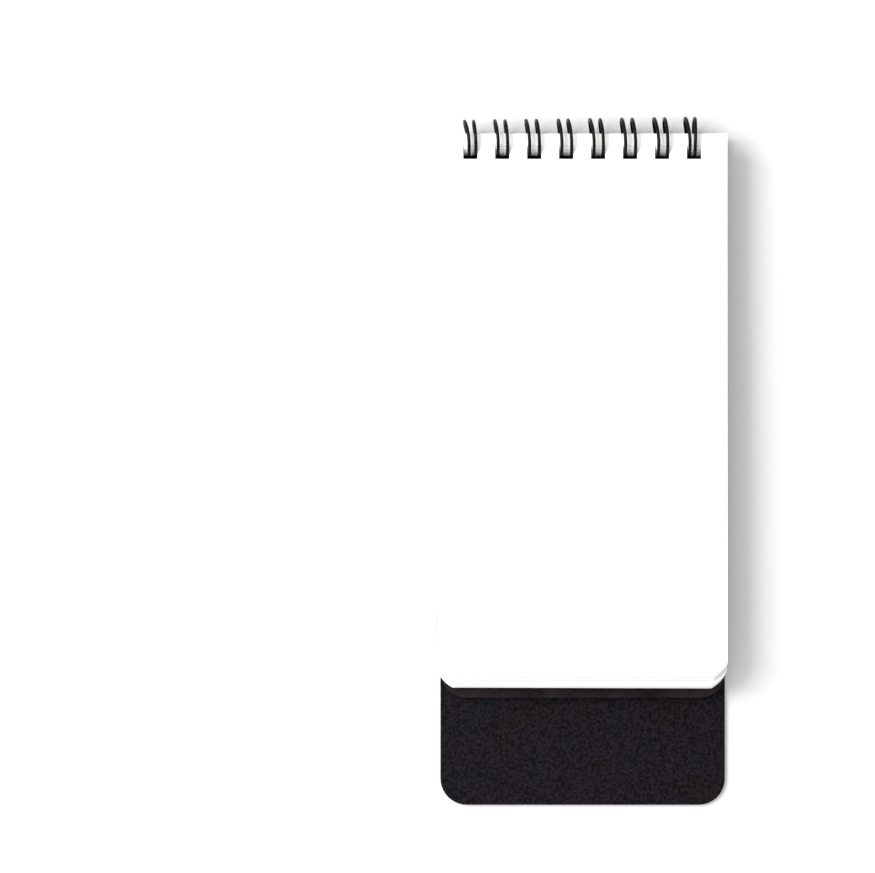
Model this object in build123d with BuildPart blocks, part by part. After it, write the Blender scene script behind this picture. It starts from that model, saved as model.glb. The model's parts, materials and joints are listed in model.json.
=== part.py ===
from build123d import *
import math
import os

# Pocket notebook: a wire-bound pad in a wrap-round board cover with an elastic strap.
# It lies open, face up, with its cover folded right round behind the pages.
# Millimetres. X is across the page, +Y runs up the page to the wire, and Z is up.
# The origin is at the bottom centre of the whole notebook as it lies.

# Covers and boards
width = 76.2
cover_corner = 7.0
board = 0.76
skin = 0.12
cover = board + 2 * skin
backing = 0.8
strap_gap = 0.8
crease_gap = 0.3

# Panel lengths along the cover, from the back's free edge round to the front's
back_length = 147.3
hinge_width = 10.0
spine_width = 10.8
front_length = 155.4

# Twin-loop wire
wire = 0.9
ring_r = 5.35
loops = 8
pitch = 25.4 / 3
leg_gap = 2.5
link_bend = 1.15
ring_past_crease = 1.4
ring_over_skin = -0.15

# Sheets
sheet_count = 56
sheet = 0.1
sheet_step = 0.106
sheet_length = 144.1
sheet_corner = 6.35
hole_width = 3.85
hole_height = 3.45
hole_from_edge = 5.0
deepest_pull = 1.1
pull_curve = 0.03
loose_pull = -0.05
turning_sheets = 6
packs = 5

# Backing board and its holes
backing_past_crease = 2.85
backing_hole_width = 4.2
backing_hole_height = 3.0
backing_hole_y = 1.55
seam_rise = 0.92
seam_room = 1.45

# Slots that let the wire through the cover at its crease
slot_width = 4.0
back_slot = 2.3
hinge_slot = 5.2

# Elastic strap
strap_width = 7.5
strap = 0.7
strap_from_edge = 18.9
strap_side = 0.7
tail = 0.4
tail_length = 22.0
tail_room = 1.0
notch_depth = 0.8
notch_width = 8.1
clear = 0.05

# Heights of the layers, from the table up
fold_z = cover + strap_gap / 2
back_z = cover + strap_gap
backing_z = back_z + cover
backing_top = backing_z + backing
sheets_z = backing_top + seam_room
strap_z = cover + clear
ring_outer = ring_r + wire / 2
ring_z = back_z + ring_over_skin + ring_outer

# Places along Y, with the whole length centred on the origin
front_end = back_length - hinge_width - spine_width - front_length
ring_far = back_length + ring_past_crease + ring_outer
edge_y = -(front_end + ring_far) / 2
crease_y = edge_y + back_length
hinge_end_y = crease_y - hinge_width
spine_end_y = hinge_end_y - spine_width
front_end_y = spine_end_y - front_length
ring_y = crease_y + ring_past_crease
strap_y = edge_y + strap_from_edge
loop_x = [(i - (loops - 1) / 2) * pitch for i in range(loops)]
side_x = width / 2

os.makedirs("parts", exist_ok=True)

# Back cover: its outer skin faces down, its lining is glued under the backing board
back_layers = [("skin", back_z, skin), ("board", back_z + skin, board)]
back_layers.append(("lining", back_z + skin + board, skin))
for layer, low, thick in back_layers:
    with BuildPart() as back_cover:
        with BuildSketch(Plane.XY.offset(low)) as outline:
            with Locations((0, (edge_y + crease_y) / 2)):
                Rectangle(width, back_length)
            fillet(outline.vertices().group_by(Axis.Y)[0], cover_corner)
            with Locations(*[(x, crease_y) for x in loop_x]):
                Rectangle(slot_width, 2 * back_slot, mode=Mode.SUBTRACT)
            with Locations((-side_x, strap_y), (side_x, strap_y)):
                Rectangle(2 * notch_depth, notch_width, mode=Mode.SUBTRACT)
        extrude(amount=thick)
    back_cover.part.label = f"back_cover_{layer}"
    export_step(back_cover.part, f"parts/back_cover_{layer}.step")

# Backing board: stiff board that the wire passes through, relieved below for the elastic's ends
with BuildPart() as backing_board:
    backing_length = back_length + backing_past_crease
    with BuildSketch(Plane.XY.offset(backing_z)) as outline:
        with Locations((0, edge_y + backing_length / 2)):
            Rectangle(width, backing_length)
        fillet(outline.vertices().group_by(Axis.Y)[0], cover_corner)
        with Locations(*[(x, crease_y - backing_hole_y) for x in loop_x]):
            Rectangle(backing_hole_width, backing_hole_height, mode=Mode.SUBTRACT)
    extrude(amount=backing)
    with BuildSketch(Plane.XY.offset(backing_z)):
        for side in (-1, 1):
            with Locations((side * (side_x - tail_length / 2), strap_y)):
                Rectangle(tail_length, notch_width)
    extrude(amount=tail + clear, mode=Mode.SUBTRACT)
backing_board.part.label = "backing_board"
export_step(backing_board.part, "parts/backing_board.step")

# The elastic's two ends, glued between the back cover and the backing board
for side, name in ((-1, "left"), (1, "right")):
    outer_x = side_x - notch_depth
    inner_x = side_x - tail_length + tail_room
    with BuildPart() as elastic_tail:
        with BuildSketch(Plane.XY.offset(backing_z)):
            with Locations((side * (outer_x + inner_x) / 2, strap_y)):
                Rectangle(outer_x - inner_x, strap_width)
        extrude(amount=tail)
    elastic_tail.part.label = f"elastic_tail_{name}"
    export_step(elastic_tail.part, f"parts/elastic_tail_{name}.step")

# The elastic's short side runs, which stand in the back cover's notches
for side, name in ((-1, "left"), (1, "right")):
    with BuildPart() as elastic_side:
        with BuildSketch(Plane.XY.offset(back_z)):
            with Locations((side * (side_x - clear - strap_side / 2), strap_y)):
                Rectangle(strap_side, strap_width)
        extrude(amount=backing_z + tail - back_z)
    elastic_side.part.label = f"elastic_side_{name}"
    export_step(elastic_side.part, f"parts/elastic_side_{name}.step")

# The strap, parked behind the back cover: two halves, which part as it stretches over the front
for side, name in ((-1, "left"), (1, "right")):
    half = side_x - clear
    with BuildPart() as elastic_strap:
        with BuildSketch(Plane.XY.offset(strap_z)):
            with Locations((side * half / 2, strap_y)):
                Rectangle(half, strap_width)
        extrude(amount=strap)
    elastic_strap.part.label = f"elastic_strap_{name}"
    export_step(elastic_strap.part, f"parts/elastic_strap_{name}.step")

# Hinge strip, spine and front cover lie on the table, lining down and outer skin up
cover_layers = [("lining", 0, skin), ("board", skin, board), ("skin", skin + board, skin)]
for layer, low, thick in cover_layers:
    gap = crease_gap / 2 if layer == "board" else 0
    with BuildPart() as hinge_strip:
        with BuildSketch(Plane.XY.offset(low)):
            with Locations((0, (crease_y + hinge_end_y + gap) / 2)):
                Rectangle(width, hinge_width - gap)
            with Locations(*[(x, crease_y) for x in loop_x]):
                Rectangle(slot_width, 2 * hinge_slot, mode=Mode.SUBTRACT)
        extrude(amount=thick)
    hinge_strip.part.label = f"hinge_strip_{layer}"
    export_step(hinge_strip.part, f"parts/hinge_strip_{layer}.step")

    with BuildPart() as spine:
        with BuildSketch(Plane.XY.offset(low)):
            with Locations((0, (hinge_end_y + spine_end_y) / 2)):
                Rectangle(width, spine_width - 2 * gap)
        extrude(amount=thick)
    spine.part.label = f"spine_{layer}"
    export_step(spine.part, f"parts/spine_{layer}.step")

    with BuildPart() as front_cover:
        with BuildSketch(Plane.XY.offset(low)) as outline:
            with Locations((0, (spine_end_y - gap + front_end_y) / 2)):
                Rectangle(width, front_length - gap)
            fillet(outline.vertices().group_by(Axis.Y)[0], cover_corner)
        extrude(amount=thick)
    front_cover.part.label = f"front_cover_{layer}"
    export_step(front_cover.part, f"parts/front_cover_{layer}.step")


# Twin-loop wire: one wire bent into a comb of hairpins, closed to rings. The links between the
# hairpins and the hairpins' tips meet at a seam hidden between the backing board and the sheets.
def ring_point(x, angle):
    return Vector(x, ring_y + ring_r * math.cos(angle), ring_z + ring_r * math.sin(angle))


def ring_tangent(angle):
    return Vector(0, -math.sin(angle), math.cos(angle))


leg = leg_gap / 2
seam_angle = math.pi + math.asin((ring_z - backing_top - seam_rise) / ring_r)
link_angle = seam_angle + link_bend / ring_r
tip_angle = seam_angle + 2 * math.pi - leg / ring_r
mid_angle = (link_angle + tip_angle) / 2
link_way = -1 * ring_tangent(link_angle)
half_bend = math.sqrt(0.5) * link_bend
with BuildPart() as wire_binding:
    for x in loop_x:
        tip = ring_point(x, tip_angle) + leg * ring_tangent(tip_angle)
        with BuildLine() as loop:
            left_end = ring_point(x - leg, tip_angle)
            right_end = ring_point(x + leg, tip_angle)
            ThreePointArc(ring_point(x - leg, link_angle), ring_point(x - leg, mid_angle), left_end)
            ThreePointArc(left_end, tip, right_end)
            ThreePointArc(right_end, ring_point(x + leg, mid_angle), ring_point(x + leg, link_angle))
        with BuildSketch(loop.line ^ 0):
            Circle(wire / 2)
        sweep()
    for x, next_x in zip(loop_x, loop_x[1:]):
        start = ring_point(x + leg, link_angle)
        end = ring_point(next_x - leg, link_angle)
        along = Vector(link_bend, 0, 0)
        half_along = Vector(link_bend - half_bend, 0, 0)
        link_start = start + along + link_bend * link_way
        link_end = end - along + link_bend * link_way
        with BuildLine() as link:
            ThreePointArc(start, start + half_along + half_bend * link_way, link_start)
            Line(link_start, link_end)
            ThreePointArc(link_end, end - half_along + half_bend * link_way, end)
        with BuildSketch(link.line ^ 0):
            Circle(wire / 2)
        sweep()
wire_binding.part.label = "wire_binding"
export_step(wire_binding.part, "parts/wire_binding.step")


# Sheets, counted from the lowest. Each hangs on the rings by its holes and pulls away from them
# a little, most at the rings' middle height, so the stack's edges follow the rings' curve. Each
# settles towards the backing board at its free end.
def sheet_plane(k):
    z = sheets_z + k * sheet_step
    from_ring = z - ring_z
    pull = deepest_pull - pull_curve * from_ring**2
    if k >= sheet_count - turning_sheets:
        pull = loose_pull
    hole_y = ring_y - math.sqrt(ring_r**2 - from_ring**2) - pull
    droop = math.atan((seam_room - clear) * (1 - k / (sheet_count - 1)) / sheet_length)
    normal = (0, -math.sin(droop), math.cos(droop))
    return Plane(origin=(0, hole_y + hole_from_edge, z), x_dir=(1, 0, 0), z_dir=normal)


def sheet_outline(k):
    with BuildSketch(sheet_plane(k), mode=Mode.PRIVATE) as outline:
        with Locations((0, -sheet_length / 2)):
            Rectangle(width, sheet_length)
        fillet(outline.vertices().group_by(Axis.Y)[0], sheet_corner)
        with Locations(*[(x, -hole_from_edge) for x in loop_x]):
            Rectangle(hole_width, hole_height, mode=Mode.SUBTRACT)
    return outline.sketch


packed = sheet_count - turning_sheets
per_pack = packed // packs
for n in range(packs):
    with BuildPart() as sheet_pack:
        for k in range(n * per_pack, (n + 1) * per_pack):
            extrude(sheet_outline(k), amount=sheet)
    sheet_pack.part.label = f"sheet_pack_{n + 1}"
    export_step(sheet_pack.part, f"parts/sheet_pack_{n + 1}.step")

# The top sheets are free to turn, each on its own. Sheet 1 is the topmost.
for n in range(turning_sheets):
    with BuildPart() as loose_sheet:
        extrude(sheet_outline(sheet_count - 1 - n), amount=sheet)
    loose_sheet.part.label = f"sheet_{n + 1:02d}"
    export_step(loose_sheet.part, f"parts/sheet_{n + 1:02d}.step")
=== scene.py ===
import json
import math
import random

import bmesh
import bpy
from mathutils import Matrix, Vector, noise

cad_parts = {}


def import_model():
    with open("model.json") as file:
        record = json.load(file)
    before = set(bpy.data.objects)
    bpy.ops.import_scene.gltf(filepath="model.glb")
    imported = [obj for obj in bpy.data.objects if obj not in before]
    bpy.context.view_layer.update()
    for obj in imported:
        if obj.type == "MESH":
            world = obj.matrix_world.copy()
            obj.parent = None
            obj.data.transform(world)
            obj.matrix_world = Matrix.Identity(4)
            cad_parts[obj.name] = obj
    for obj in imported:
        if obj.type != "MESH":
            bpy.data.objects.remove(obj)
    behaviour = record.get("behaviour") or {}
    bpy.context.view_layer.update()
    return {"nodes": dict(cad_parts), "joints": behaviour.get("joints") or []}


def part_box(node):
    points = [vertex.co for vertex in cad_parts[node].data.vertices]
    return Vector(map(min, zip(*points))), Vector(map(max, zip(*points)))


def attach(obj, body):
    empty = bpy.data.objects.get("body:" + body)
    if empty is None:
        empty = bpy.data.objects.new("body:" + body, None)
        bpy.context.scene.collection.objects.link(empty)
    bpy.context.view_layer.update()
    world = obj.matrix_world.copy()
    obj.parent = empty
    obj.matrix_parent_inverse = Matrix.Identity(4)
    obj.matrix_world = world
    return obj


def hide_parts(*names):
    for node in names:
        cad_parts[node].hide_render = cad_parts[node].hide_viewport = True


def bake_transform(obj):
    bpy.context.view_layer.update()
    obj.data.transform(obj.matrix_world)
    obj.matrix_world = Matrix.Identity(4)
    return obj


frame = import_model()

# Pocket notebook: blank sheets on twin-loop wire, a backing board, a wrap-round cover that is
# folded behind them, and an elastic strap parked behind the back cover. Metres, like the frame.
MM = 0.001
rng = random.Random(11)

# Sizes that the frame doesn't state
WIRE = 0.9 * MM
LOOPS = 8
PITCH = 25.4 / 3 * MM
SHEET = 0.1 * MM
SHEET_LENGTH = 144.1 * MM
SHEET_ARC = 9.0 * MM
SHEET_CUT = 3.75 * MM
COVER_CORNER = 7.0 * MM
SKIN = 0.12 * MM
HOLE_WIDTH = 3.85 * MM
HOLE_HEIGHT = 3.45 * MM
HOLE_FROM_EDGE = 5.0 * MM
HOLES_OFF_X = -0.33 * MM
PAGES_OFF_X = -0.25 * MM
PACK_OFF_X = -0.05 * MM
LOOSE_OFF_Y = 0.4 * MM
LOWER_OFF_Y = -0.15 * MM
LOOSE_LONGER = -0.3 * MM
PACK_LONGER = 0.28 * MM
PACK_HOLE_OFF = -0.45 * MM
BOUND_LIFT = 0.25 * MM
FREE_LIFT = 0.7 * MM
FAN_DEGREES = -0.32
FAN_JITTER_DEGREES = 0.01
SHEET_JITTER = 0.04
SHEET_WAVE = 0.12 * MM
SLOT_WIDTH = 4.0 * MM
HINGE_SLOT_WIDTH = 5.4 * MM
NOTCH_WIDTH = 8.1 * MM
NOTCH_DEPTH = 0.8 * MM
BACK_SLOT_REACH = 2.3 * MM
HINGE_SLOT_REACH = 5.2 * MM
RIBS = 9
LOOSE_SHEETS = 6
PACKS = 5

# Places read from the frame
pivots = {joint["name"]: Vector(joint["pos_m"]) for joint in frame["joints"] if "pos_m" in joint}
wire_low, wire_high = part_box("wire_binding")
ring_outer = (wire_high.z - wire_low.z) / 2
ring_r = ring_outer - WIRE / 2
ring_y = wire_high.y - ring_outer
ring_z = wire_high.z - ring_outer
crease = pivots["cover_fold"]
hinge_end = pivots["spine_fold"]
spine_end = pivots["front_fold"]
back_low, back_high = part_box("back_cover_board")
board_low, board_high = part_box("backing_board")
half_width = back_high.x
loop_x = [(i - (LOOPS - 1) / 2) * PITCH for i in range(LOOPS)]


def smoothstep(t):
    t = min(max(t, 0.0), 1.0)
    return t * t * (3 - 2 * t)


# ---------------------------------------------------------------- materials
def new_material(name, roughness, specular):
    material = bpy.data.materials.new(name)
    material.use_nodes = True
    shader = material.node_tree.nodes["Principled BSDF"]
    shader.inputs["Roughness"].default_value = roughness
    shader.inputs["Specular IOR Level"].default_value = specular
    return material, shader


def object_coords(material, stretch=(1, 1, 1)):
    nodes = material.node_tree.nodes
    coords = nodes.new("ShaderNodeTexCoord")
    mapping = nodes.new("ShaderNodeMapping")
    mapping.inputs["Scale"].default_value = stretch
    material.node_tree.links.new(coords.outputs["Object"], mapping.inputs["Vector"])
    return mapping.outputs["Vector"]


def noise_of(material, coords, size, detail=3.0, roughness=0.5):
    texture = material.node_tree.nodes.new("ShaderNodeTexNoise")
    texture.inputs["Scale"].default_value = 1 / size
    texture.inputs["Detail"].default_value = detail
    texture.inputs["Roughness"].default_value = roughness
    material.node_tree.links.new(coords, texture.inputs["Vector"])
    return texture.outputs["Fac"]


def ramp_of(material, factor, low, high, dark, light):
    ramp = material.node_tree.nodes.new("ShaderNodeValToRGB")
    ramp.color_ramp.elements[0].position = low
    ramp.color_ramp.elements[0].color = (*dark, 1)
    ramp.color_ramp.elements[1].position = high
    ramp.color_ramp.elements[1].color = (*light, 1)
    material.node_tree.links.new(factor, ramp.inputs["Fac"])
    return ramp.outputs["Color"]


def mix_of(material, factor, a, b, mode="MIX"):
    mix = material.node_tree.nodes.new("ShaderNodeMix")
    mix.data_type = "RGBA"
    mix.blend_type = mode
    links = material.node_tree.links
    if isinstance(factor, float):
        mix.inputs["Factor"].default_value = factor
    else:
        links.new(factor, mix.inputs["Factor"])
    links.new(a, mix.inputs["A"])
    links.new(b, mix.inputs["B"])
    return mix.outputs["Result"]


def math_of(material, operation, a, b):
    node = material.node_tree.nodes.new("ShaderNodeMath")
    node.operation = operation
    for socket, value in zip(node.inputs, (a, b)):
        if isinstance(value, float):
            socket.default_value = value
        else:
            material.node_tree.links.new(value, socket)
    return node.outputs["Value"]


def bump_of(material, height, depth, strength, below=None):
    bump = material.node_tree.nodes.new("ShaderNodeBump")
    bump.inputs["Strength"].default_value = strength
    bump.inputs["Distance"].default_value = depth
    material.node_tree.links.new(height, bump.inputs["Height"])
    if below is not None:
        material.node_tree.links.new(below, bump.inputs["Normal"])
    return bump.outputs["Normal"]


def finish_material(material, shader, colour, normal, roughness=None):
    links = material.node_tree.links
    links.new(colour, shader.inputs["Base Color"])
    links.new(normal, shader.inputs["Normal"])
    if roughness is not None:
        links.new(roughness, shader.inputs["Roughness"])
    return material


def page_material():
    """Uncoated white paper: faint fibre, a slow cockle, cut edges darker than the faces with painted shade
    and a tone that differs sheet by sheet, and browner, darker edges in the punched holes, a painted shade
    for the depth of the holes."""
    material, shader = new_material("page_paper", 0.8, 0.25)
    nodes, links = material.node_tree.nodes, material.node_tree.links
    coords = object_coords(material)
    fibre = noise_of(material, coords, 0.25 * MM, 6.0, 0.65)
    cloud = noise_of(material, coords, 14 * MM, 3.0)
    face = ramp_of(material, cloud, 0.35, 0.7, (0.875, 0.87, 0.855), (0.91, 0.905, 0.895))
    flecks = ramp_of(material, fibre, 0.25, 0.7, (0.955, 0.95, 0.94), (1, 1, 1))
    face = mix_of(material, 1.0, face, flecks, "MULTIPLY")
    # Painted shade: the cut edges get a far darker colour than the faces, standing in for the shade between
    # the sheets; their tone also differs at random sheet by sheet.
    geometry = nodes.new("ShaderNodeNewGeometry")
    edge = ramp_of(
        material, geometry.outputs["Random Per Island"], 0.0, 1.0, (0.25, 0.225, 0.20), (0.62, 0.595, 0.56)
    )
    own = nodes.new("ShaderNodeTexCoord")
    place = nodes.new("ShaderNodeSeparateXYZ")
    links.new(own.outputs["Object"], place.inputs["Vector"])
    off_middle = math_of(material, "ABSOLUTE", place.outputs["X"], 0.0)
    # Painted shade: in the punched-hole band the cut edges turn a darker brown, standing in for the shade
    # deep inside the holes.
    hole_shade_mask = math_of(material, "GREATER_THAN", place.outputs["Y"], crease.y - 8 * MM)
    hole_shade_mask = math_of(material, "MULTIPLY", hole_shade_mask, math_of(material, "LESS_THAN", off_middle, 35 * MM))
    below_edge = math_of(material, "LESS_THAN", place.outputs["Y"], crease.y - 0.2 * MM)
    hole_shade_mask = math_of(material, "MULTIPLY", hole_shade_mask, below_edge)
    hole_painted_shade = ramp_of(material, fibre, 0.3, 0.7, (0.20, 0.155, 0.125), (0.44, 0.36, 0.31))
    edge = mix_of(material, hole_shade_mask, edge, hole_painted_shade)
    split = nodes.new("ShaderNodeSeparateXYZ")
    links.new(own.outputs["Normal"], split.inputs["Vector"])
    upright = math_of(material, "ABSOLUTE", split.outputs["Z"], 0.0)
    is_face = math_of(material, "GREATER_THAN", upright, 0.7)
    colour = mix_of(material, is_face, edge, face)
    cockle = bump_of(material, cloud, 0.3 * MM, 0.15)
    normal = bump_of(material, fibre, 0.02 * MM, 0.35, cockle)
    return finish_material(material, shader, colour, normal)


def skin_material():
    """Charcoal cover skin: a fine pebbled grain under a matt film, with slow warm and cool mottling."""
    material, shader = new_material("cover_skin_grain", 0.6, 0.06)
    coords = object_coords(material)
    pebble = material.node_tree.nodes.new("ShaderNodeTexVoronoi")
    pebble.feature = "SMOOTH_F1"
    pebble.inputs["Scale"].default_value = 1 / (0.55 * MM)
    pebble.inputs["Smoothness"].default_value = 0.6
    material.node_tree.links.new(coords, pebble.inputs["Vector"])
    speckle = noise_of(material, coords, 0.8 * MM, 4.0, 0.6)
    fine = noise_of(material, coords, 0.16 * MM, 3.0, 0.6)
    slow = noise_of(material, coords, 9 * MM, 3.0, 0.55)
    tint = ramp_of(material, slow, 0.3, 0.7, (0.0052, 0.0036, 0.0046), (0.0043, 0.0037, 0.0064))
    grain = ramp_of(material, speckle, 0.36, 0.66, (0.1, 0.1, 0.1), (2.5, 2.4, 2.4))
    colour = mix_of(material, 1.0, tint, grain, "MULTIPLY")
    shine = ramp_of(material, fine, 0.3, 0.7, (0.52, 0.52, 0.52), (0.7, 0.7, 0.7))
    coarse = bump_of(material, pebble.outputs["Distance"], 0.05 * MM, 0.5)
    normal = bump_of(material, fine, 0.02 * MM, 0.5, coarse)
    return finish_material(material, shader, colour, normal, shine)


def lining_material():
    """Black lining paper, dry and slightly fibrous."""
    material, shader = new_material("cover_lining_paper", 0.88, 0.2)
    coords = object_coords(material)
    fibre = noise_of(material, coords, 0.3 * MM, 5.0, 0.65)
    cloud = noise_of(material, coords, 11 * MM, 2.0)
    tint = ramp_of(material, cloud, 0.3, 0.7, (0.0095, 0.0093, 0.0096), (0.0125, 0.012, 0.0122))
    flecks = ramp_of(material, fibre, 0.3, 0.75, (0.8, 0.8, 0.8), (1.35, 1.33, 1.3))
    colour = mix_of(material, 1.0, tint, flecks, "MULTIPLY")
    normal = bump_of(material, fibre, 0.03 * MM, 0.4)
    return finish_material(material, shader, colour, normal)


def board_material():
    """Dyed-through board: its cut edge shows pressed layers of dark brown-grey fibre."""
    material, shader = new_material("cover_board_edge", 0.85, 0.2)
    layers = noise_of(material, object_coords(material, (0.12, 0.12, 1)), 0.09 * MM, 3.0, 0.6)
    specks = noise_of(material, object_coords(material), 0.3 * MM, 4.0, 0.6)
    tint = ramp_of(material, layers, 0.35, 0.68, (0.011, 0.0098, 0.009), (0.03, 0.0265, 0.024))
    flecks = ramp_of(material, specks, 0.3, 0.7, (0.8, 0.8, 0.8), (1.25, 1.22, 1.2))
    colour = mix_of(material, 1.0, tint, flecks, "MULTIPLY")
    normal = bump_of(material, layers, 0.04 * MM, 0.5)
    return finish_material(material, shader, colour, normal)


def backing_material():
    """Black backing board with a smooth pressed face and a felted surface."""
    material, shader = new_material("backing_board_black", 0.75, 0.06)
    coords = object_coords(material)
    felt = noise_of(material, coords, 0.4 * MM, 5.0, 0.65)
    cloud = noise_of(material, coords, 7 * MM, 3.0)
    tint = ramp_of(material, cloud, 0.3, 0.7, (0.0060, 0.0045, 0.0050), (0.0225, 0.0170, 0.0185))
    flecks = ramp_of(material, felt, 0.35, 0.75, (0.85, 0.85, 0.85), (1.5, 1.45, 1.4))
    colour = mix_of(material, 1.0, tint, flecks, "MULTIPLY")
    normal = bump_of(material, felt, 0.03 * MM, 0.35)
    return finish_material(material, shader, colour, normal)


def wire_material():
    """Nylon-coated steel wire: near-black satin with a faint orange-peel surface."""
    material, shader = new_material("wire_nylon_black", 0.3, 0.1)
    coords = object_coords(material)
    peel = noise_of(material, coords, 0.22 * MM, 2.0, 0.5)
    cloud = noise_of(material, coords, 2.5 * MM, 2.0)
    colour = ramp_of(material, cloud, 0.3, 0.7, (0.002, 0.0019, 0.002), (0.0042, 0.0038, 0.004))
    shine = ramp_of(material, cloud, 0.3, 0.7, (0.24, 0.24, 0.24), (0.36, 0.36, 0.36))
    normal = bump_of(material, peel, 0.015 * MM, 0.3)
    return finish_material(material, shader, colour, normal, shine)


def elastic_material():
    """Black braided elastic: fine slanting yarns across each rib, with a soft sheen."""
    material, shader = new_material("elastic_braid", 0.8, 0.12)
    shader.inputs["Sheen Weight"].default_value = 0.06
    shader.inputs["Sheen Roughness"].default_value = 0.5
    coords = object_coords(material)
    yarn = material.node_tree.nodes.new("ShaderNodeTexWave")
    yarn.bands_direction = "DIAGONAL"
    yarn.inputs["Scale"].default_value = 1 / (3.2 * MM)
    yarn.inputs["Distortion"].default_value = 1.5
    yarn.inputs["Detail"].default_value = 2.0
    yarn.inputs["Detail Scale"].default_value = 2.0
    material.node_tree.links.new(coords, yarn.inputs["Vector"])
    fuzz = noise_of(material, coords, 0.12 * MM, 4.0, 0.65)
    tint = ramp_of(material, yarn.outputs["Fac"], 0.1, 0.9, (0.0045, 0.0045, 0.005), (0.0115, 0.011, 0.0115))
    flecks = ramp_of(material, fuzz, 0.3, 0.75, (0.75, 0.75, 0.75), (1.4, 1.4, 1.4))
    colour = mix_of(material, 1.0, tint, flecks, "MULTIPLY")
    braid = bump_of(material, yarn.outputs["Fac"], 0.06 * MM, 0.6)
    normal = bump_of(material, fuzz, 0.03 * MM, 0.5, braid)
    return finish_material(material, shader, colour, normal)


def floor_material():
    """Plain pale table."""
    material, shader = new_material("floor_white", 0.9, 0.1)
    coords = object_coords(material)
    cloud = noise_of(material, coords, 0.3, 2.0)
    colour = ramp_of(material, cloud, 0.3, 0.7, (0.688, 0.686, 0.684), (0.7, 0.7, 0.7))
    normal = bump_of(material, cloud, 0.05 * MM, 0.05)
    return finish_material(material, shader, colour, normal)


finishes = {
    "page": page_material(),
    "cover_skin": skin_material(),
    "cover_lining": lining_material(),
    "cover_board": board_material(),
    "backing_board": backing_material(),
    "binding_wire": wire_material(),
    "elastic": elastic_material(),
}


# ---------------------------------------------------------------- mesh helpers
def new_piece(name, points, faces, slot, smooth=False):
    mesh = bpy.data.meshes.new(name)
    mesh.from_pydata(points, [], faces)
    piece = bpy.data.objects.new(name, mesh)
    bpy.context.scene.collection.objects.link(piece)
    made = bmesh.new()
    made.from_mesh(mesh)
    bmesh.ops.recalc_face_normals(made, faces=made.faces)
    made.to_mesh(mesh)
    made.free()
    for polygon in mesh.polygons:
        polygon.use_smooth = smooth
    mesh.materials.append(finishes[slot])
    return piece


def plate_mesh(xs, ys, is_open, place):
    """Points and faces of a thin solid on a grid of cells, where open cells are holes or notches.
    place(x, y, side) gives a point of the lower (0) or upper (1) face."""
    columns, rows = len(xs), len(ys)
    points, index, faces = [], {}, []

    def point(i, j, side):
        if (i, j, side) not in index:
            index[i, j, side] = len(points)
            points.append(place(xs[i], ys[j], side))
        return index[i, j, side]

    def filled(i, j):
        inside = 0 <= i < columns - 1 and 0 <= j < rows - 1
        return inside and not is_open((xs[i] + xs[i + 1]) / 2, (ys[j] + ys[j + 1]) / 2)

    for j in range(rows - 1):
        for i in range(columns - 1):
            if not filled(i, j):
                continue
            corners = [(i, j), (i + 1, j), (i + 1, j + 1), (i, j + 1)]
            faces.append([point(*c, 1) for c in corners])
            faces.append([point(*c, 0) for c in reversed(corners)])
            beside = [(i, j - 1), (i + 1, j), (i, j + 1), (i - 1, j)]
            for side, neighbour in enumerate(beside):
                if not filled(*neighbour):
                    a, b = corners[side], corners[(side + 1) % 4]
                    faces.append([point(*a, 0), point(*b, 0), point(*b, 1), point(*a, 1)])
    return points, faces


def corner_rows(start, radius, steps=10):
    """Rows across a rounded end, spaced evenly round the corner."""
    return [start + radius * (1 - math.cos(math.radians(90 * n / steps))) for n in range(steps + 1)]


def narrowed(x, from_end, radius, half):
    """x drawn in where the rounded corners narrow the sheet."""
    if from_end >= radius:
        return x
    inner = half - 1.4 * radius
    if abs(x) <= inner:
        return x
    edge = half - radius + math.sqrt(max(radius**2 - (radius - from_end) ** 2, 0))
    return math.copysign(inner + (abs(x) - inner) * (edge - inner) / (half - inner), x)


def trimmed(x, from_end, half):
    """x drawn in where a sheet's corner is cut, on an arc that meets both edges at an angle."""
    if from_end >= SHEET_CUT:
        return x
    centre = (SHEET_CUT + math.sqrt(2 * SHEET_ARC**2 - SHEET_CUT**2)) / 2
    inset = centre - math.sqrt(SHEET_ARC**2 - (centre - from_end) ** 2)
    inner = half - 2 * SHEET_CUT
    if abs(x) <= inner:
        return x
    return math.copysign(inner + (abs(x) - inner) * (half - inset - inner) / (half - inner), x)


def spread(low, high, count):
    return [low + (high - low) * n / count for n in range(count + 1)]


def unique(values):
    out = []
    for value in sorted(values):
        if not out or value - out[-1] > 0.001 * MM:
            out.append(value)
    return out


def soften(piece, width, sharp_y=()):
    """Rounds the sharp edges of a piece, except those on a crease, where its skin runs on."""
    mesh = piece.data
    made = bmesh.new()
    made.from_mesh(mesh)
    edges = []
    for edge in made.edges:
        on_crease = any(all(abs(v.co.y - y) < 0.01 * MM for v in edge.verts) for y in sharp_y)
        if len(edge.link_faces) == 2 and edge.calc_face_angle() > math.radians(40) and not on_crease:
            edges.append(edge)
    bmesh.ops.bevel(
        made, geom=edges, offset=width, offset_type="OFFSET", segments=2, profile=0.6,
        affect="EDGES", clamp_overlap=True,
    )
    made.to_mesh(mesh)
    made.free()
    return piece


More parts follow.
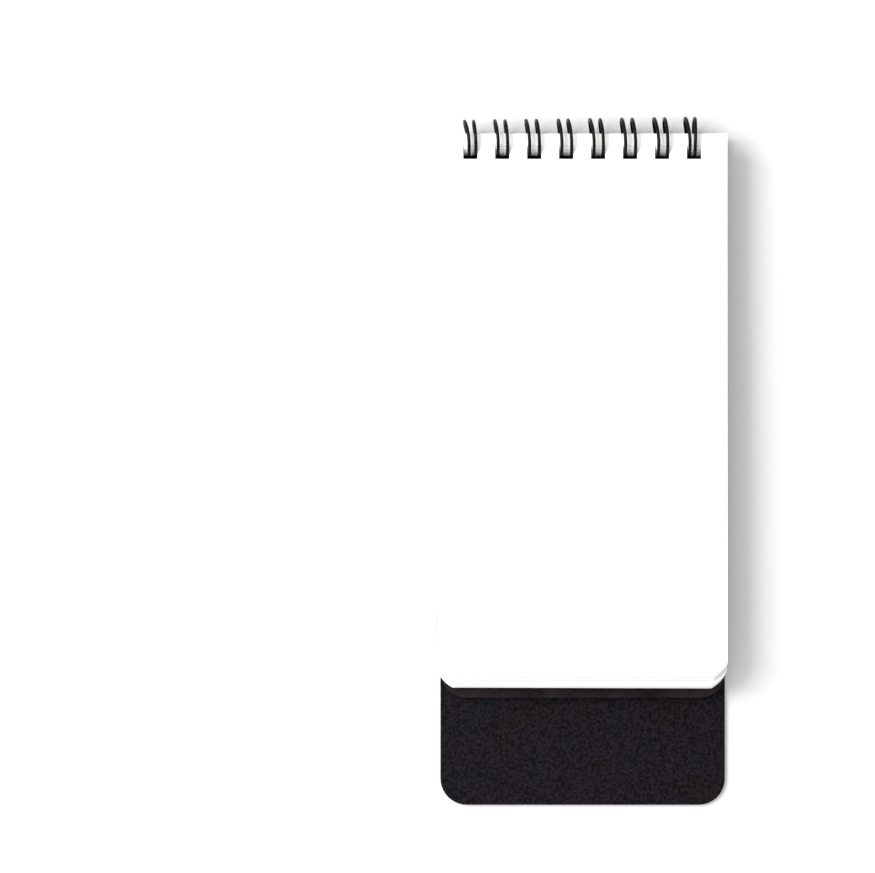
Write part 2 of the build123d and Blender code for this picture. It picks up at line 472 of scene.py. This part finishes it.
# ---------------------------------------------------------------- sheets
def islands(node):
    """The separate solids in a CAD node, as (low y, high y, low z, high z), lowest first."""
    made = bmesh.new()
    made.from_mesh(frame["nodes"][node].data)
    bmesh.ops.remove_doubles(made, verts=made.verts, dist=0.001 * MM)
    left, found = set(made.verts), []
    while left:
        part, edge = set(), [left.pop()]
        while edge:
            vertex = edge.pop()
            part.add(vertex)
            for link in vertex.link_edges:
                other = link.other_vert(vertex)
                if other in left:
                    left.remove(other)
                    edge.append(other)
        ys = [v.co.y for v in part]
        zs = [v.co.z for v in part]
        found.append((min(ys), max(ys), min(zs), max(zs)))
    made.free()
    return sorted(found, key=lambda f: f[3])


hole_x = [x + HOLES_OFF_X for x in loop_x]
sheet_columns = unique(
    [-half_width, half_width]
    + [x + side * HOLE_WIDTH / 2 for x in hole_x for side in (-1, 1)]
    + spread(hole_x[-1] + HOLE_WIDTH / 2, half_width, 3)
    + spread(-half_width, hole_x[0] - HOLE_WIDTH / 2, 3)
)
hole_low = HOLE_FROM_EDGE + HOLE_HEIGHT / 2
hole_high = HOLE_FROM_EDGE - HOLE_HEIGHT / 2
sheet_rows = unique(
    [-y for y in corner_rows(-SHEET_LENGTH, SHEET_CUT)]
    + spread(hole_low, SHEET_LENGTH - SHEET_CUT, 12)
    + [hole_high, 0.0]
)
stack_low = islands("sheet_pack_1")[0][3]
stack_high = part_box("sheet_01")[1].z


def in_hole(x, down):
    near = min(abs(x - hole) for hole in hole_x)
    return near < HOLE_WIDTH / 2 and hole_high < down < hole_low


def sheet_mesh(top_y, free_z, bound_z, off_y, longer, hole_off, lift):
    """One sheet from its top edge, and the heights of its underside at the free and bound ends.
    It takes a share of the stack's slow waves, and sits a little off its neighbours."""
    height = (bound_z - stack_low) / (stack_high - stack_low)
    wave = SHEET_WAVE * height
    skew = math.radians(FAN_DEGREES * (1 - height) + rng.uniform(-FAN_JITTER_DEGREES, FAN_JITTER_DEGREES))
    off_x = PAGES_OFF_X + (PACK_OFF_X - PAGES_OFF_X) * min(2 * (1 - height), 1)
    off_x += rng.uniform(-SHEET_JITTER, SHEET_JITTER) * MM
    off_y += rng.uniform(-SHEET_JITTER, SHEET_JITTER) * MM

    def place(x, down, side):
        x = trimmed(x, SHEET_LENGTH - down, half_width)
        if hole_high - 0.01 * MM < down < hole_low + 0.01 * MM:
            down += hole_off
        share = down / SHEET_LENGTH
        along = HOLE_FROM_EDGE - down - longer * share
        ripple = noise.noise(Vector((x * 18, down * 13, 0.5))) * smoothstep(share * 2)
        z = bound_z + (free_z - bound_z) * share + side * SHEET + wave * ripple
        z += lift[0] + (lift[1] - lift[0]) * share**2
        turned_x = x * math.cos(skew) - along * math.sin(skew)
        turned_y = x * math.sin(skew) + along * math.cos(skew)
        return Vector((turned_x + off_x, top_y - HOLE_FROM_EDGE + turned_y + off_y, z))

    return plate_mesh(sheet_columns, sheet_rows, in_hole, place)


def sheets(name, node, body, off_y, longer, hole_off=0.0, lift=(0.0, 0.0)):
    """The sheets of one CAD node. lift raises the bound and the free end off the pages below."""
    points, faces = [], []
    for _, top_y, free_z, high_z in islands(node):
        more_points, more_faces = sheet_mesh(
            top_y, free_z, high_z - SHEET, off_y, longer, hole_off, lift
        )
        first = len(points)
        points += more_points
        faces += [[first + n for n in face] for face in more_faces]
    piece = new_piece(name, points, faces, "page")
    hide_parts(node)
    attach(piece, body)


for n in range(PACKS):
    sheets(f"pages_{n + 1}", f"sheet_pack_{n + 1}", "root", 0.0, PACK_LONGER, PACK_HOLE_OFF)
for n in range(LOOSE_SHEETS):
    is_top = n < LOOSE_SHEETS // 2
    off_y = LOOSE_OFF_Y if is_top else LOWER_OFF_Y
    lift = (BOUND_LIFT, (2 if is_top else 1) * FREE_LIFT)
    name = f"sheet_{n + 1:02d}"
    sheets(f"loose_page_{n + 1:02d}", name, name, off_y, LOOSE_LONGER, lift=lift)


# ---------------------------------------------------------------- twin-loop wire
# Each hairpin's two legs lean as they come over the rings: (left, right) distances from the middle
# of the hole at the far side of the ring, and where they pass into the hole, in millimetres.
# Set loop by loop.
LEGS = [
    ((-1.51, 0.88), (-0.32, 1.46)),
    ((-1.94, 0.77), (-1.09, 1.41)),
    ((-2.10, 0.64), (-1.25, 1.35)),
    ((-1.98, 0.60), (-1.18, 1.42)),
    ((-2.04, 0.64), (-1.11, 1.33)),
    ((-2.06, 0.68), (-1.26, 1.39)),
    ((-1.91, 0.88), (-0.95, 1.43)),
    ((-2.06, 0.46), (-1.15, 0.25)),
]
LINK_BEND = 1.15 * MM
SEAM_RISE = 0.92 * MM
LEAN_DEGREES = 110
REACH_GROWTH = 0.09
seam_angle = math.pi + math.asin((ring_z - board_high.z - SEAM_RISE) / ring_r)
link_angle = seam_angle + LINK_BEND / ring_r - 2 * math.pi


def ring_point(x, angle):
    return Vector((x, ring_y + ring_r * math.cos(angle), ring_z + ring_r * math.sin(angle)))


def lean(angle):
    """How far a leg has leant away from its place in the hole, from 0 to 1."""
    degrees = math.degrees(angle)
    if degrees >= 0:
        return smoothstep((LEAN_DEGREES - degrees) / LEAN_DEGREES)
    return smoothstep(1 - degrees / math.degrees(link_angle))


def drift(angle):
    """How far the hairpin follows the sheets' holes off its place in the backing board."""
    return (HOLES_OFF_X + PAGES_OFF_X) * smoothstep(math.degrees(angle - link_angle) / LEAN_DEGREES)


def leg_points(middle_x, far, near, tip_angle, steps=52):
    """One leg from the seam to the hairpin's tip. The loops reach a little further from left to right."""
    reach = 1 + REACH_GROWTH * middle_x / half_width
    points = []
    for n in range(steps + 1):
        angle = link_angle + (tip_angle - link_angle) * n / steps
        x = middle_x + near + (far - near) * lean(angle) + drift(angle)
        point = ring_point(x, angle)
        if point.y > ring_y:
            point.y = ring_y + (point.y - ring_y) * reach
        points.append(point)
    return points


def hairpin(middle_x, far, near):
    """Up the left leg, round the tip and back down the right leg."""
    radius = (near[1] - near[0]) / 2 * MM
    tip_angle = seam_angle - radius / ring_r
    left = leg_points(middle_x, far[0] * MM, near[0] * MM, tip_angle)
    right = leg_points(middle_x, far[1] * MM, near[1] * MM, tip_angle)
    middle = middle_x + (near[0] + near[1]) / 2 * MM + drift(tip_angle)
    tip = []
    for n in range(1, 10):
        turn = math.pi * n / 10
        angle = tip_angle + radius * math.sin(turn) / ring_r
        tip.append(ring_point(middle - radius * math.cos(turn), angle))
    return left + tip + right[::-1]


def link(start_x, end_x):
    """The straight link between two hairpins, with a bend at each end."""
    points = []
    for n in range(1, 6):
        turn = math.pi / 2 * n / 5
        angle = link_angle - LINK_BEND * math.sin(turn) / ring_r
        points.append(ring_point(start_x + LINK_BEND * (1 - math.cos(turn)), angle))
    mirrored = [ring_point(end_x - (p.x - start_x), 0) for p in points]
    for p, q in zip(points, mirrored):
        q.y, q.z = p.y, p.z
    return points + mirrored[::-1]


def tube(path, radius, around=12):
    """A round tube along a path, with closed ends."""
    points, faces = [], []
    normal = Vector((1, 0, 0))
    for n, centre in enumerate(path):
        along = (path[min(n + 1, len(path) - 1)] - path[max(n - 1, 0)]).normalized()
        normal = (normal - along * normal.dot(along)).normalized()
        other = along.cross(normal)
        for k in range(around):
            turn = 2 * math.pi * k / around
            points.append(centre + radius * (normal * math.cos(turn) + other * math.sin(turn)))
    for n in range(len(path) - 1):
        for k in range(around):
            a, b = n * around + k, n * around + (k + 1) % around
            faces.append([a, b, b + around, a + around])
    faces.append(list(range(around))[::-1])
    faces.append([len(points) - around + k for k in range(around)])
    return points, faces


wire_path = []
for n, (x, (far, near)) in enumerate(zip(loop_x, LEGS)):
    if n:
        before = loop_x[n - 1] + LEGS[n - 1][1][1] * MM
        wire_path += link(before, x + near[0] * MM)
    wire_path += hairpin(x, far, near)
wire = new_piece("twin_loop_wire", *tube(wire_path, WIRE / 2), "binding_wire", smooth=True)
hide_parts("wire_binding")
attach(wire, "root")


# ---------------------------------------------------------------- cover panels and backing board
LAYERS = ("skin", "board", "lining")
EDGE = {"skin": 0.045 * MM, "board": 0.1 * MM, "lining": 0.04 * MM}
CREASE_REACH = 0.6 * MM
strap_y = sum(corner.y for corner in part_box("elastic_tail_left")) / 2


def flat(z_low, z_high, radius, end_y):
    def place(x, y, side):
        x = narrowed(x, y - end_y, radius, half_width) if radius else x
        return Vector((x, y, (z_low, z_high)[side]))

    return place


def panel(name, node, body, low_y, high_y, radius=0.0, slots=(), notches=False):
    """One layer of a cover panel. slots is the stretch in y where the wire passes through it, and
    how wide each of those slots is."""
    low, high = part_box(node)
    xs = [-half_width, half_width] + spread(-half_width, half_width, 12)
    ys = [low_y, high_y] + (corner_rows(low_y, radius) if radius else [])
    ys += spread(low_y + max(radius, 0.5 * MM), high_y - 0.5 * MM, 6)
    if slots:
        xs += [x + side * slots[2] / 2 for x in loop_x for side in (-1, 1)]
        ys += [y for y in slots[:2] if low_y < y < high_y]
    if notches:
        xs += [side * (half_width - NOTCH_DEPTH) for side in (-1, 1)]
        ys += [strap_y - NOTCH_WIDTH / 2, strap_y + NOTCH_WIDTH / 2]

    def is_open(x, y):
        in_slot = slots and slots[0] < y < slots[1]
        in_slot = in_slot and min(abs(x - hole) for hole in loop_x) < slots[2] / 2
        in_notch = notches and abs(y - strap_y) < NOTCH_WIDTH / 2
        in_notch = in_notch and abs(x) > half_width - NOTCH_DEPTH
        return in_slot or in_notch

    place = flat(low.z, high.z, radius, low_y)
    mesh = plate_mesh(unique(xs), unique(ys), is_open, place)
    layer = name.split("_")[-1]
    piece = new_piece(name, *mesh, f"cover_{layer}")
    soften(piece, EDGE[layer], (low_y, high_y) if not radius else (high_y,))
    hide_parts(node)
    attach(piece, body)


for layer in LAYERS:
    cut = 0.0 if layer == "board" else CREASE_REACH
    node = f"back_cover_{layer}"
    low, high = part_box(node)
    slot_start = crease.y - BACK_SLOT_REACH
    slots = (slot_start, high.y + MM, SLOT_WIDTH)
    panel(f"back_panel_{layer}", node, "root", low.y, high.y, COVER_CORNER, slots, True)
    node = f"hinge_strip_{layer}"
    low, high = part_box(node)
    slot_start = crease.y - HINGE_SLOT_REACH
    slots = (slot_start, high.y + MM, HINGE_SLOT_WIDTH)
    panel(f"hinge_panel_{layer}", node, "hinge_strip", low.y + cut, high.y, 0.0, slots)
    node = f"spine_{layer}"
    low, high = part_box(node)
    panel(f"spine_panel_{layer}", node, "spine", low.y + cut, high.y - cut)
    node = f"front_cover_{layer}"
    low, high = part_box(node)
    panel(f"front_panel_{layer}", node, "front_cover", low.y, high.y - cut, COVER_CORNER)


def backing_board():
    """The stiff board under the sheets: a row of holes for the wire, and reliefs for the elastic."""
    hole_y = crease.y - 1.55 * MM
    hole_w, hole_h = 4.2 * MM, 3.0 * MM
    relief_x = half_width - 22.0 * MM
    relief_z = 0.45 * MM
    xs = [-half_width, half_width, -relief_x, relief_x] + [
        x + side * hole_w / 2 for x in loop_x for side in (-1, 1)
    ]
    ys = corner_rows(board_low.y, COVER_CORNER)
    ys += [strap_y - NOTCH_WIDTH / 2 - 0.01 * MM, strap_y - NOTCH_WIDTH / 2]
    ys += [strap_y + NOTCH_WIDTH / 2, strap_y + NOTCH_WIDTH / 2 + 0.01 * MM]
    ys += spread(strap_y + 8 * MM, hole_y - hole_h / 2, 6)
    ys += [hole_y - hole_h / 2, hole_y + hole_h / 2, board_high.y]
    xs += [-relief_x + 0.01 * MM, relief_x - 0.01 * MM]

    def is_open(x, y):
        return abs(y - hole_y) < hole_h / 2 and min(abs(x - hole) for hole in loop_x) < hole_w / 2

    def place(x, y, side):
        z = (board_low.z, board_high.z)[side]
        relieved = abs(y - strap_y) < NOTCH_WIDTH / 2 + 0.005 * MM and abs(x) > relief_x - 0.005 * MM
        if relieved and side == 0:
            z += relief_z
        return Vector((narrowed(x, y - board_low.y, COVER_CORNER, half_width), y, z))

    mesh = plate_mesh(unique(xs), unique(ys), is_open, place)
    piece = new_piece("backing_board_panel", *mesh, "backing_board")
    soften(piece, 0.1 * MM)
    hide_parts("backing_board")
    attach(piece, "root")


backing_board()


# ---------------------------------------------------------------- creases
def bent_strip(name, low_x, high_x, rows, slot):
    """A strip across a crease. rows holds the (outer, inner) points of its section as (y, z)."""
    points, faces = [], []
    for x in (low_x, high_x):
        for outer, inner in rows:
            points += [Vector((x, *outer)), Vector((x, *inner))]
    per_side = 2 * len(rows)
    for n in range(len(rows) - 1):
        a, b = 2 * n, 2 * n + 2
        faces.append([a, b, b + per_side, a + per_side])
        faces.append([a + 1, a + 1 + per_side, b + 1 + per_side, b + 1])
        faces.append([a, a + 1, b + 1, b])
        faces.append([a + per_side, b + per_side, b + 1 + per_side, a + 1 + per_side])
    last = per_side - 2
    faces.append([0, per_side, per_side + 1, 1])
    faces.append([last, last + 1, last + 1 + per_side, last + per_side])
    return new_piece(name, points, faces, slot, smooth=True)


def u_fold():
    """The first crease, folded right over at rest, in the pieces that the wire's slots leave."""
    slot_edges = [x + side * SLOT_WIDTH / 2 for x in loop_x for side in (-1, 1)]
    edges = [-half_width] + slot_edges + [half_width]
    for layer in LAYERS:
        low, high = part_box(f"back_cover_{layer}")
        outer, inner = high.z - crease.z, low.z - crease.z
        for n in range(0, len(edges), 2):
            rows = []
            for step in range(25):
                angle = math.radians(90 - 180 * step / 24)
                across, up = math.cos(angle), math.sin(angle)
                rows.append([(crease.y + r * across, crease.z + r * up) for r in (outer, inner)])
            name = f"crease_1_{layer}_{n // 2 + 1}"
            piece = bent_strip(name, edges[n], edges[n + 1], rows, f"cover_{layer}")
            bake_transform(piece)


def flat_fold(number, pivot):
    """A crease that lies flat at rest: the skin and lining run across it over a scored line."""
    for layer in ("skin", "lining"):
        low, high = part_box(f"hinge_strip_{layer}")
        score = 0.045 * MM
        rows = []
        for step in range(17):
            share = step / 16
            y = pivot.y + CREASE_REACH * (1 - 2 * share)
            dip = score * (1 - abs(2 * share - 1)) ** 2
            outer = high.z - dip if layer == "skin" else high.z
            inner = low.z if layer == "skin" else low.z + dip
            rows.append([(y, outer), (y, inner)])
        piece = bent_strip(f"crease_{number}_{layer}", -half_width, half_width, rows, f"cover_{layer}")
        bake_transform(piece)


u_fold()
flat_fold(2, hinge_end)
flat_fold(3, spine_end)


# ---------------------------------------------------------------- elastic strap
RIB_DEPTH = 0.085 * MM
RIB_STEPS = 8
LEAN_ROOM = 0.85 * MM
STRAP_LAP = 2.2 * MM


def rib_profile(width, thickness):
    """(across, up) points of the strap's section: rounded ribs above and below."""
    top = []
    for n in range(RIBS * RIB_STEPS + 1):
        across = width * (n / (RIBS * RIB_STEPS) - 0.5)
        rib = abs(math.sin(math.pi * n / RIB_STEPS)) ** 0.6
        edge = 1 - max(abs(2 * across / width) - 0.93, 0) / 0.07 * 0.45
        top.append((across, (thickness / 2 - RIB_DEPTH * (1 - rib)) * edge))
    return top + [(across, -up) for across, up in reversed(top)]


def ribbon(name, stations, width):
    """A ribbed strap. Each station is (centre, direction of its thickness, thickness)."""
    points, faces = [], []
    for centre, up, thickness in stations:
        for across, rise in rib_profile(width, thickness):
            points.append(centre + Vector((0, across, 0)) + up * rise)
    around = len(rib_profile(width, 1.0))
    for n in range(len(stations) - 1):
        for k in range(around):
            a, b = n * around + k, n * around + (k + 1) % around
            faces.append([a, b, b + around, a + around])
    faces.append(list(range(around))[::-1])
    faces.append([len(points) - around + k for k in range(around)])
    return new_piece(name, points, faces, "elastic", smooth=True)


def elastic(side, sign, room=0.0):
    """One half of the strap, standing out by room where the pages lean over it."""
    strap_low, strap_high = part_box(f"elastic_strap_{side}")
    stub_low, stub_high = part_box(f"elastic_side_{side}")
    tail_low, tail_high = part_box(f"elastic_tail_{side}")
    width = strap_high.y - strap_low.y
    strap_z = (strap_low.z + strap_high.z) / 2
    thickness = strap_high.z - strap_low.z
    outer_x = max(abs(strap_low.x), abs(strap_high.x)) + room
    up, out = Vector((0, 0, 1)), Vector((1, 0, 0))

    # the strap's half, which runs on past the middle so that the halves stay lapped as they part
    past = STRAP_LAP
    lap = 0.03 * MM if side == "right" else 0.0
    stations = [(Vector((-sign * past, strap_y, strap_z)), up, thickness - lap)]
    stations.append((Vector((sign * past, strap_y, strap_z)), up, thickness - lap))
    stations += [
        (Vector((sign * x, strap_y, strap_z)), up, thickness)
        for x in spread(past + 0.2 * MM, outer_x - thickness / 2, 24)
    ]
    for n in range(1, 7):
        turn = math.radians(90 * n / 6.5)
        x = outer_x - thickness / 2 * (1 - math.sin(turn))
        stations.append((Vector((sign * x, strap_y, strap_z)), up, thickness * math.cos(turn)))
    strap = ribbon(f"elastic_band_{side}", stations, width)
    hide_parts(f"elastic_strap_{side}")
    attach(strap, f"elastic_strap_{side}")

    # the side run, which stretches from the back cover's notch up to the strap
    side_x = (abs(stub_low.x) + abs(stub_high.x)) / 2 + room
    side_thick = abs(stub_high.x - stub_low.x)
    top_z = tail_high.z - 0.08 * MM
    heights = spread(top_z, strap_z, 12)
    stations = [(Vector((sign * side_x, strap_y, z)), out, side_thick) for z in heights]
    leg = ribbon(f"elastic_leg_{side}", stations, width)
    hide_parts(f"elastic_side_{side}")
    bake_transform(leg)

    # the glued end, and the short turn that joins it to the side run
    tail_z = (tail_low.z + tail_high.z) / 2
    tail_thick = tail_high.z - tail_low.z
    inner_x = min(abs(tail_low.x), abs(tail_high.x))
    turn_x = max(abs(tail_low.x), abs(tail_high.x)) - 0.5 * MM
    stations = [(Vector((sign * x, strap_y, tail_z)), up, tail_thick) for x in spread(inner_x, turn_x, 8)]
    tail = ribbon(f"elastic_end_{side}", stations, width)
    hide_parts(f"elastic_tail_{side}")
    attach(tail, "root")
    turn_end = side_x + 0.15 * MM
    stations = [
        (Vector((sign * x, strap_y, tail_z)), up, tail_thick - 0.02 * MM)
        for x in spread(turn_x - 0.2 * MM, turn_end, 8)
    ]
    turn = ribbon(f"elastic_turn_{side}", stations, width - 0.02 * MM)
    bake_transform(turn)


elastic("left", -1, room=LEAN_ROOM)
elastic("right", 1)


# ---------------------------------------------------------------- camera, floor and light
CAMERA_LENS = 133.4
CAMERA_PLACE = (-38.9 * MM, 7.0 * MM, 870 * MM)
FLOOR_HALF = 6.0
FLOOR_DROP = 0.02 * MM


def camera():
    """Straight down, with the notebook right of the middle of the view."""
    data = bpy.data.cameras.new("camera")
    data.lens = CAMERA_LENS
    data.sensor_width = 36
    obj = bpy.data.objects.new("camera", data)
    obj.location = CAMERA_PLACE
    bpy.context.scene.collection.objects.link(obj)
    bpy.context.scene.camera = obj


def floor():
    size = FLOOR_HALF
    mesh = bpy.data.meshes.new("floor")
    corners = [(-size, -size, 0), (size, -size, 0), (size, size, 0), (-size, size, 0)]
    mesh.from_pydata(corners, [], [(0, 1, 2, 3)])
    mesh.materials.append(floor_material())
    obj = bpy.data.objects.new("floor", mesh)
    obj.location = (0, 0, -FLOOR_DROP)
    bpy.context.scene.collection.objects.link(obj)


def area_light(name, place, size, power):
    data = bpy.data.lights.new(name, "AREA")
    data.size = size
    data.energy = power
    obj = bpy.data.objects.new(name, data)
    obj.location = place
    obj.rotation_euler = (-Vector(place)).to_track_quat("-Z", "Y").to_euler()
    bpy.context.scene.collection.objects.link(obj)


def world():
    scene_world = bpy.data.worlds.new("studio")
    scene_world.use_nodes = True
    background = scene_world.node_tree.nodes["Background"]
    background.inputs["Color"].default_value = (1, 1, 1, 1)
    background.inputs["Strength"].default_value = 0.95
    bpy.context.scene.world = scene_world


camera()
floor()
world()
area_light("key", (-0.62, 0.2, 0.64), 0.6, 11)
bpy.context.scene.view_settings.view_transform = "Standard"
